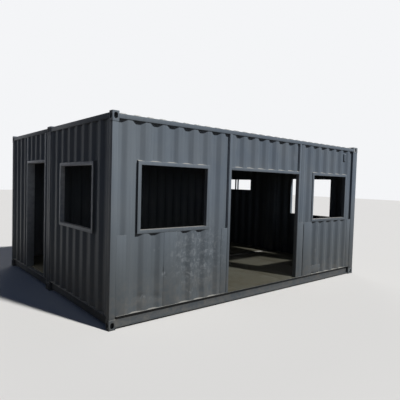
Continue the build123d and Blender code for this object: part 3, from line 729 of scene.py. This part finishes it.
def dented(shape, dents, waviness):
    """Pushes a sheet's points inwards by shallow dents and by gentle waves."""
    for vert in shape.verts:
        push = waviness * (0.5 + 0.5 * noise.noise(vert.co * WAVES))
        for along, up, wide, tall, deep in dents:
            far = ((vert.co.x - along) / wide) ** 2 + ((vert.co.y - up) / tall) ** 2
            push += deep * MM * math.exp(-far)
        vert.co.z -= push


def sheet_mesh(sizes, material, low, high, middle, rows, windows=(), dents=(), roof=False):
    """Bent sheet between two corners, in its own axes, with its real thickness."""
    width = high[0] - low[0]
    bend = {
        name: getattr(sizes, ("roof_" if roof else "") + name.lower())
        for name in ("Pitch", "Depth", "Flat", "Slope")
    }
    per_pitch = ROOF_COLUMNS_PER_PITCH if roof else COLUMNS_PER_PITCH
    values = {
        **bend,
        "Width": width,
        "Height": high[1] - low[1],
        "Middle": middle - low[0],
        "Softness": 0.5 if roof else 0.25,
        "Taper": sizes.roof_taper if roof else 0.01 * MM,
        "Crowding": 1.0 if roof else 0.0,
        "Columns": int(width / bend["Pitch"] * per_pitch) + 2,
        "Rows": rows,
        "Material": material,
    }
    mesh = grown(once("Corrugated sheet", corrugation_tree), values)
    shape = bmesh.new()
    shape.from_mesh(mesh)
    centre = ((low[0] + high[0]) / 2, (low[1] + high[1]) / 2, 0)
    bmesh.ops.translate(shape, verts=shape.verts[:], vec=centre)
    for window in windows:
        cut_window(shape, *window)
    if not roof:
        dented(shape, dents, sizes.waviness)
    shape.to_mesh(mesh)
    shape.free()
    return thickened(mesh, sizes.sheet)


def stood_up(mesh, node, side, ending="_sheet"):
    """Stands a sheet up in its place on the cabin, instead of its node's solid."""
    mesh.transform(sheet_matrix(node, side))
    smooth_except(mesh, 40)
    finished(node + ending, mesh, "slate_paint", node)


class CABIN_OT_sheets(bpy.types.Operator):
    """Bends the wall and roof sheets, with their window cuts, dents and waves"""

    bl_idname = "cabin.sheets"
    bl_label = "Corrugated sheets"

    def execute(self, context):
        sizes = context.scene.cabin_sizes
        paint = once("slate_enamel", enamel_paint)
        middles = recess_middles()
        for node, side, rows, opening, dents in WALL_SHEETS:
            low, high = outline(node, side)
            windows = [outline(opening, side, FRAME_LAP)] if opening else []
            mesh = sheet_mesh(sizes, paint, low, high, middles[node], rows, windows, dents)
            stood_up(mesh, node, side)
        self.rear_left_end(sizes, paint, middles)
        for node in ("front_roof_sheet", "rear_roof_sheet"):
            low, high = outline(node, "roof")
            middle = (low[0] + high[0]) / 2
            mesh = sheet_mesh(sizes, paint, low, high, middle, ROOF_ROWS, roof=True)
            stood_up(mesh, node, "roof", "_ribs")
        return {"FINISHED"}

    def rear_left_end(self, sizes, paint, middles):
        """The end wall beside and over the narrow doorway."""
        (left, foot), (right, top) = outline("left_end_wall_rear", "left")
        (post_left, _), (post_right, _) = outline("left_door_posts", "left")
        (header_left, _), (header_right, header_top) = outline("left_door_header", "left")
        near, far = middles["over_end_door"], middles["left_far"]
        parts = (
            ((post_right, foot), (right, top), near),
            ((left, foot), (post_left, top), far),
            ((header_left, header_top), (header_right, top), near),
        )
        meshes = [
            sheet_mesh(sizes, paint, low, high, middle, REAR_LEFT_END_ROWS)
            for low, high, middle in parts
        ]
        stood_up(joined(meshes, "left_end_wall_rear"), "left_end_wall_rear", "left")


# Where a sill's web lies behind its outer face, and how much further in the real one lies
WEB_NEAR, WEB_FAR = 13 * MM, 21 * MM
WEB_SET_BACK = 34 * MM

# Nothing pale shows on what lies lower than this: the foot flanges stand in splashed soil
FOOT_FLANGE = 60 * MM

# Top faces of the end headers lie above this level, and are this much higher on the real ones
HEADER_LEVEL = 2.855
HEADER_RISES = {"front_end_rails": 14 * MM, "rear_end_rails": 7 * MM}


def set_back(mesh, rail):
    """Moves the web of a sill rail in behind its flange, where the real one lies in shadow."""
    low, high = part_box(rail)
    faces = {
        "front_bottom_side_rails": ((1, low.y, 1),),
        "rear_bottom_side_rails": ((1, high.y, -1),),
        "front_end_rails": ((0, low.x, 1), (0, high.x, -1)),
        "rear_end_rails": ((0, low.x, 1), (0, high.x, -1)),
    }
    for axis, outer, inwards in faces.get(rail, ()):
        for vert in mesh.vertices:
            if WEB_NEAR < (vert.co[axis] - outer) * inwards < WEB_FAR:
                vert.co[axis] += WEB_SET_BACK * inwards


class CABIN_OT_frame(bpy.types.Operator):
    """Rounds the edges of the posts, rails, corner castings and door and window frames"""

    bl_idname = "cabin.frame"
    bl_label = "Frame"

    def execute(self, context):
        radius = context.scene.cabin_sizes.tube_radius
        paint = once("slate_enamel", enamel_paint)
        cast = once("cast_enamel", cast_enamel)
        bounce_lit = once("bounce_lit_enamel", bounce_lit_enamel)
        # Endings of node names, edge rounding as a share of a tube's, and finish
        kinds = (
            (("castings",), 0.9, cast),
            (("blocks",), 0.9, paint),
            # The left doorway and the left end's window frame get pale enamel: painted bounce light
            # on their shaded faces
            (("left_door_posts", "left_door_header"), 1, bounce_lit),
            (("left_end_window_frame",), 1 / 4, bounce_lit),
            (("posts", "top_side_rails", "header"), 1, paint),
            (("bottom_side_rails", "end_rails"), 1 / 3, paint),
            (("frame", "plates", "ventilator"), 1 / 4, paint),
        )
        for node in sorted(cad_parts):
            for endings, share, finish in kinds:
                if node.endswith(endings):
                    mesh = eased_mesh(node, finish, share * radius)
                    set_back(mesh, node)
                    if node in HEADER_RISES:
                        self.raise_header(mesh, HEADER_RISES[node])
                    # The doorway's reveals get pale enamel: painted bounce light
                    if node == "front_door_posts":
                        self.paint_bounce_light_on_reveals(mesh, bounce_lit)
                    finished(node + "_eased", mesh, "slate_paint", node, clean_below=FOOT_FLANGE)
                    break
        return {"FINISHED"}

    def raise_header(self, mesh, rise):
        """Lifts an end header's top face."""
        for vert in mesh.vertices:
            if vert.co.z > HEADER_LEVEL:
                vert.co.z += rise

    def paint_bounce_light_on_reveals(self, mesh, bounce_lit):
        """Pale enamel on the doorway's reveals, which face along the wall: painted bounce light on
        their shade.
        """
        mesh.materials.append(bounce_lit)
        for face in mesh.polygons:
            face.material_index = int(abs(face.normal.x) > 0.9)


# Walls whose foot is welded
WELDED_WALLS = (
    "front_wall_left", "front_wall_right", "left_end_wall_front", "right_end_wall_front",
    "right_end_wall_rear", "back_wall",
)

# Weld beads: ripple, step along a bent foot, place off the sheet, place behind a post's face,
# and how near the crest a frame's upright edge must run to be welded
BEAD_RIPPLE = 9 * MM
FOOT_STEP = 12 * MM
BEAD_OFF = 1 * MM
POST_SEAM = 9 * MM
NEAR_CREST = 0.9

# Closures over the frames: parts across each, and how far they stand off the crests
CAP_PARTS = 16
CAP_OFF = 2 * MM

# Small patch right of the doorway: its top, the share of the top that is welded, how far the
# strip on its left laps a crest, how far that slants down to it and lies behind the patch
PATCH_TOP = 0.355
PATCH_WELDED = 0.55
CREST_LAP = 4 * MM
LAP_SLANT = 25 * MM
LAP_BEHIND = 1 * MM


class CABIN_OT_welds(bpy.types.Operator):
    """Runs weld beads along the frames and the foot of each sheet, and caps the recesses"""

    bl_idname = "cabin.welds"
    bl_label = "Weld beads and recess caps"

    def execute(self, context):
        sizes = context.scene.cabin_sizes
        paint = once("slate_enamel", enamel_paint)
        middles = recess_middles()
        sides = {node: (side, opening) for node, side, _, opening, _ in WALL_SHEETS}
        seams, caps = [], []
        for node in WELDED_WALLS:
            side, opening = sides[node]
            if opening:
                spots = (sheet_matrix(node, side), *outline(opening, side), middles[node])
                seams += self.frame_seams(sizes, *spots)
                caps.append(self.recess_caps(sizes, *spots))
        node = "front_wall_over_door"
        spots = (sheet_matrix(node, "front"), *outline("front_door_header", "front"))
        caps.append(self.recess_caps(sizes, *spots, middles[node]))
        for node in WELDED_WALLS:
            seams.append(self.foot_seam(sizes, node, sides[node][0], middles[node]))
        low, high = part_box("front_door_posts")
        for x in (low.x, high.x):
            seams.append([Vector((x, low.y + POST_SEAM, z)) for z in (low.z, high.z)])
        left, right, level, face = self.patch_edges()
        welded = left + PATCH_WELDED * (right - left)
        seams.append([Vector((x, face, level)) for x in (left, welded)])
        caps.append(self.patch_lap(sizes, left, level, face, middles["front_wall_right"]))
        finished("weld_beads", strips(seams, sizes.bead, BEAD_RIPPLE, paint), "slate_paint")
        capped = joined(caps, "recess_caps")
        capped.materials.append(paint)
        finished("recess_caps", capped, "slate_paint")
        return {"FINISHED"}

    def frame_seams(self, sizes, turn, low, high, middle):
        """Seams of a window frame with the crests that it crosses or runs along."""
        levels = (low[1], high[1])
        seams = []
        for level in levels:
            for run in wall_runs(sizes, low[0], high[0], middle):
                seams.append([turn @ Vector((u, level, 0)) for u in run])
        for edge in (low[0], high[0]):
            if crest_share(sizes, edge, middle) > NEAR_CREST:
                seams.append([turn @ Vector((edge, level, 0)) for level in levels])
        return seams

    def foot_seam(self, sizes, node, side, middle):
        """The seam between a sheet's bent foot and the sill under it."""
        (start, foot), (end, _) = outline(node, side)
        turn = sheet_matrix(node, side)
        count = int((end - start) / FOOT_STEP)
        points = []
        for i in range(count + 1):
            u = start + (end - start) * i / count
            depth = sizes.depth * (1 - crest_share(sizes, u, middle))
            points.append(turn @ Vector((u, foot + BEAD_OFF, BEAD_OFF - depth)))
        return points

    def recess_caps(self, sizes, turn, low, high, middle):
        """Sloping steel closures that shed rain from the recesses above a frame."""
        level = high[1]
        shape = bmesh.new()
        for start, end in wall_runs(sizes, low[0], high[0], middle, crests=False):
            outer, inner = [], []
            for i in range(CAP_PARTS + 1):
                u = start + (end - start) * i / CAP_PARTS
                share = 1 - crest_share(sizes, u, middle)
                back = Vector((u, level + sizes.cap_rise * share, -sizes.depth * share))
                outer.append(shape.verts.new(turn @ Vector((u, level, CAP_OFF))))
                inner.append(shape.verts.new(turn @ back))
            for i in range(CAP_PARTS):
                shape.faces.new((outer[i], outer[i + 1], inner[i + 1], inner[i]))
        return thickened(plain_mesh(shape, "cap"), sizes.sheet)

    def patch_edges(self):
        """Left and right edge, top level and face of the small patch right of the doorway."""
        points = [vert.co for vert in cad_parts["front_infill_plates"].data.vertices]
        tops = [point for point in points if abs(point.z - PATCH_TOP) < 1 * MM]
        sides = [point.x for point in tops]
        return min(sides), max(sides), tops[0].z, min(point.y for point in tops)

    def patch_lap(self, sizes, left, level, face, middle):
        """Strip that closes the recess between the patch and the crest on its left."""
        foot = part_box("front_wall_right")[0].z
        runs = wall_runs(sizes, left - sizes.pitch, left, middle)
        crest = max(end for start, end in runs) - CREST_LAP
        corners = ((crest, foot), (left, foot), (left, level), (crest, level - LAP_SLANT))
        return plate([(x, face + LAP_BEHIND, z) for x, z in corners], sizes.sheet)


# Floor screws: rows on a module's cross members, screws in a row, both ends of a row bare,
# width of a member's flange, radius of a head and of its recess, height of a head
SCREW_ROWS = 14
SCREWS_PER_ROW = 9
ROW_ENDS = 160 * MM
MEMBER_FLANGE = 45 * MM
SCREW_HEAD = 6 * MM
SCREW_RECESS = 3.5 * MM
HEAD_HEIGHT = 1.2 * MM

# Tread in the front doorway: width of the posts, thickness, drop under the boards, clearance
DOOR_POST = 50 * MM
TREAD = 3 * MM
TREAD_DROP = 7 * MM
TREAD_CLEARANCE = 1 * MM


class CABIN_OT_floor(bpy.types.Operator):
    """Lays the plywood floor, screws it down and coats the cross members"""

    bl_idname = "cabin.floor"
    bl_label = "Floor"

    def execute(self, context):
        plywood = once("hardwood_plywood", hardwood_plywood)
        bitumen = once("bitumen_coat", bitumen_coat)
        zinc = once("zinc_screw", zinc_screw)
        for module in ("front", "rear"):
            node = module + "_floor_boards"
            mesh = eased_mesh(node, plywood, 1.5 * MM)
            finished(node + "_laid", mesh, "floor_plywood", node)
            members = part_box(module + "_cross_members")
            low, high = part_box(node)
            values = {
                "Length": members[1].x - members[0].x - MEMBER_FLANGE,
                "Width": high.y - low.y - ROW_ENDS,
                "Head": SCREW_HEAD,
                "Recess": SCREW_RECESS,
                "Head Height": HEAD_HEIGHT,
                "Rows": SCREW_ROWS,
                "Screws": SCREWS_PER_ROW,
                "Material": zinc,
            }
            screws = grown(once("Floor screws", screw_tree), values)
            middle = (members[0].x + members[1].x) / 2
            screws.transform(Matrix.Translation((middle, (low.y + high.y) / 2, high.z)))
            finished(node + "_screws", screws, "slate_paint")
        for module in ("front", "rear"):
            node = module + "_cross_members"
            mesh = eased_mesh(node, bitumen, 1 * MM)
            set_back(mesh, module + "_bottom_side_rails")
            finished(node + "_coated", mesh, "underframe_paint", node)
        self.threshold(plywood)
        return {"FINISHED"}

    def threshold(self, plywood):
        """Plywood tread over the sill flange, between the posts of the front doorway."""
        posts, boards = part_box("front_door_posts"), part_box("front_floor_boards")
        left, right = posts[0].x + DOOR_POST, posts[1].x - DOOR_POST
        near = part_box("front_bottom_side_rails")[0].y + TREAD_CLEARANCE
        far = boards[0].y - TREAD_CLEARANCE
        top = boards[1].z - TREAD_DROP
        corners = ((left, near), (right, near), (right, far), (left, far))
        made = plate([(x, y, top) for x, y in corners], TREAD)
        made.materials.append(plywood)
        finished("threshold_tread", made, "floor_plywood")


# Foam strips in the joint between the modules: radius, ripple, and how far each lies inside
# the corner blocks, the castings, the top rails' top and the sills' top
SEAL_RADIUS = 6.5 * MM
SEAL_RIPPLE = 40 * MM
SEAL_FROM_BLOCKS = 45 * MM
SEAL_FROM_CASTINGS = 60 * MM
SEAL_UNDER_RAIL = 25 * MM
SEAL_UNDER_SILL = 6 * MM


class CABIN_OT_seals(bpy.types.Operator):
    """Presses foam strips into the joint between the two modules"""

    bl_idname = "cabin.seals"
    bl_label = "Joint seals"

    def execute(self, context):
        foam = once("epdm_foam", foam_strip)
        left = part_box("front_left_corner_blocks")[0].x + SEAL_FROM_BLOCKS
        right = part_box("front_right_corner_castings")[1].x - SEAL_FROM_CASTINGS
        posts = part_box("front_corner_posts")
        lines = [[(x, 0, corner.z) for corner in posts] for x in (left, right)]
        for node, drop in (
            ("front_top_side_rails", SEAL_UNDER_RAIL),
            ("front_bottom_side_rails", SEAL_UNDER_SILL),
        ):
            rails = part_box(node)
            lines.append([(corner.x, 0, rails[1].z - drop) for corner in rails])
        made = strips(lines, SEAL_RADIUS, SEAL_RIPPLE, foam)
        finished("module_joint_seals", made, "underframe_paint", dust=0.2)
        return {"FINISHED"}


# Lamps: name, strength, spread in degrees and direction
LAMPS = (
    ("key_light", 4.2, 3.0, (-0.224, 0.667, -0.711)),
    ("fill_light", 0.25, 40.0, (0.2, 0.97, -0.1)),
    ("back_light", 0.5, 40.0, (-0.5, -0.75, -0.45)),
)

# Light that the surroundings give to matt surfaces, of the 1 that the camera sees
WORLD_LIGHT = 0.07


class CABIN_OT_stage(bpy.types.Operator):
    """Sets the pale floor, soft light and the camera at the photograph's angle"""

    bl_idname = "cabin.stage"
    bl_label = "Stage"

    def execute(self, context):
        scene = context.scene
        shape = bmesh.new()
        bmesh.ops.create_grid(shape, x_segments=1, y_segments=1, size=60.0)
        ground = bpy.data.objects.new("studio_floor", plain_mesh(shape, "studio_floor"))
        scene.collection.objects.link(ground)
        ground.data.materials.append(self.pale_floor(scene.cabin_colours.floor))
        for lamp in LAMPS:
            self.light(*lamp)
        self.surroundings(scene)
        self.camera(scene)
        scene.view_settings.view_transform = "Standard"
        return {"FINISHED"}

    def seen_rays(self, tree):
        """1 for what is looked at, straight, mirrored or through glass, and 0 for soft bounces."""
        ray = add_node(tree, "ShaderNodeLightPath").outputs
        seen = ray["Is Camera Ray"]
        for other in ("Is Glossy Ray", "Is Transmission Ray"):
            either = {0: seen, 1: ray[other]}
            seen = add_node(tree, "ShaderNodeMath", either, operation="MAXIMUM").outputs[0]
        return seen

    def surroundings(self, scene):
        """White to look at, and a little blue light on matt surfaces, as from the sky."""
        scene.world = bpy.data.worlds.new("studio")
        tree = emptied(scene.world)
        seen = self.seen_rays(tree)
        inputs = {"Value": seen, "To Min": WORLD_LIGHT, "To Max": 1.0}
        strength = add_node(tree, "ShaderNodeMapRange", inputs).outputs[0]
        tints = {0: seen, 6: linear("#86ABF0"), 7: linear("#F4F5F7")}
        tint = add_node(tree, "ShaderNodeMix", tints, data_type="RGBA").outputs[2]
        sky = add_node(tree, "ShaderNodeBackground", {"Color": tint, "Strength": strength})
        add_node(tree, "ShaderNodeOutputWorld", {"Surface": sky.outputs[0]})

    def light(self, name, strength, spread, direction):
        """A soft sun lamp that shines along a direction."""
        lamp = bpy.data.lights.new(name, "SUN")
        lamp.energy = strength
        lamp.angle = math.radians(spread)
        holder = bpy.data.objects.new(name, lamp)
        holder.rotation_mode = "QUATERNION"
        holder.rotation_quaternion = Vector(direction).to_track_quat("-Z", "Y")
        bpy.context.scene.collection.objects.link(holder)

    def pale_floor(self, colour):
        """Matt painted studio floor, darker for bounced light than for the camera."""
        material = bpy.data.materials.new("studio_floor")
        tree = emptied(material)
        tints = {0: self.seen_rays(tree), 6: linear("#554C41"), 7: colour}
        tint = add_node(tree, "ShaderNodeMix", tints, data_type="RGBA")
        matt = add_node(tree, "ShaderNodeBsdfDiffuse", {"Color": tint.outputs[2]})
        add_node(tree, "ShaderNodeOutputMaterial", {"Surface": matt.outputs[0]})
        return material

    def camera(self, scene):
        """Puts the camera where the photograph was taken from."""
        place = Matrix.Translation(CAMERA_PLACE)
        for angle, axis in (
            (-CAMERA_YAW, "Z"), (math.pi / 2 + CAMERA_PITCH, "X"), (CAMERA_ROLL, "Z")
        ):
            place = place @ Matrix.Rotation(angle, 4, axis)
        data = bpy.data.cameras.new("camera")
        data.sensor_width = SENSOR_MM
        data.lens = FOCAL_PIXELS / PHOTO_PIXELS * SENSOR_MM
        data.shift_x = 0.5 - PRINCIPAL_X / PHOTO_PIXELS
        data.clip_end = 500
        holder = bpy.data.objects.new("camera", data)
        holder.matrix_world = place
        scene.collection.objects.link(holder)
        scene.camera = holder


STEPS = (
    CABIN_OT_sheets,
    CABIN_OT_frame,
    CABIN_OT_welds,
    CABIN_OT_floor,
    CABIN_OT_seals,
    CABIN_OT_stage,
)


class CABIN_PT_panel(bpy.types.Panel):
    """Sizes, colours and steps of the cabin"""

    bl_label = "Cabin"
    bl_idname = "CABIN_PT_panel"
    bl_space_type = "VIEW_3D"
    bl_region_type = "UI"
    bl_category = "Cabin"

    def draw(self, context):
        for group in (context.scene.cabin_sizes, context.scene.cabin_colours):
            for name in group.bl_rna.properties.keys():
                if name not in ("rna_type", "name"):
                    self.layout.prop(group, name)
        for step in STEPS:
            self.layout.operator(step.bl_idname)


def register():
    for kind in (CabinSizes, CabinColours, *STEPS, CABIN_PT_panel):
        bpy.utils.register_class(kind)
    bpy.types.Scene.cabin_sizes = bpy.props.PointerProperty(type=CabinSizes)
    bpy.types.Scene.cabin_colours = bpy.props.PointerProperty(type=CabinColours)


def unregister():
    del bpy.types.Scene.cabin_colours
    del bpy.types.Scene.cabin_sizes
    for kind in (CABIN_PT_panel, *reversed(STEPS), CabinColours, CabinSizes):
        bpy.utils.unregister_class(kind)


def main():
    register()
    bpy.ops.cabin.sheets()
    bpy.ops.cabin.frame()
    bpy.ops.cabin.welds()
    bpy.ops.cabin.floor()
    bpy.ops.cabin.seals()
    bpy.ops.cabin.stage()


if __name__ == "__main__":
    main()
